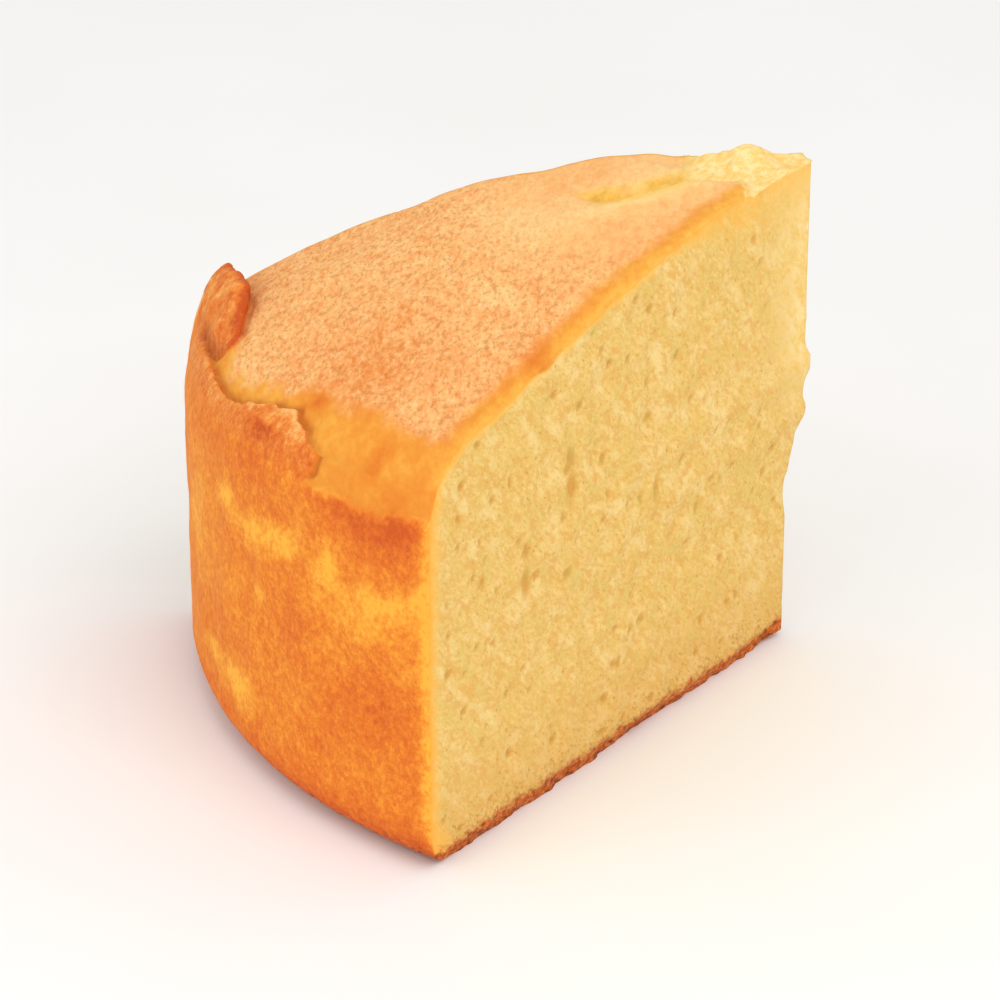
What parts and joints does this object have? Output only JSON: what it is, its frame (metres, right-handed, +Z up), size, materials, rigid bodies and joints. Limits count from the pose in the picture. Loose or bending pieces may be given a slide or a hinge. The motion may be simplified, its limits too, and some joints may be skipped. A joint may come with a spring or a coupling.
{
  "type": "cake slice",
  "caption": "Wedge of golden pound cake, for serving on a plate: domed browned crust, pale crumb on two straight cuts, curled lip at the rim, flat base.",
  "frame": {"origin": "middle of the slice's box, on the flat base it stands on", "axes": "+Z up; +X from the browned side of the cake towards the slice's tip; the straight cut that the picture shows faces -Y"},
  "size_m": [0.079, 0.0752, 0.0679],
  "materials": {
    "cake": "matte, dry crumb and browned crust"
  },
  "bodies": {
    "root": {"cake_slice": "cake"}
  },
  "joints": []
}
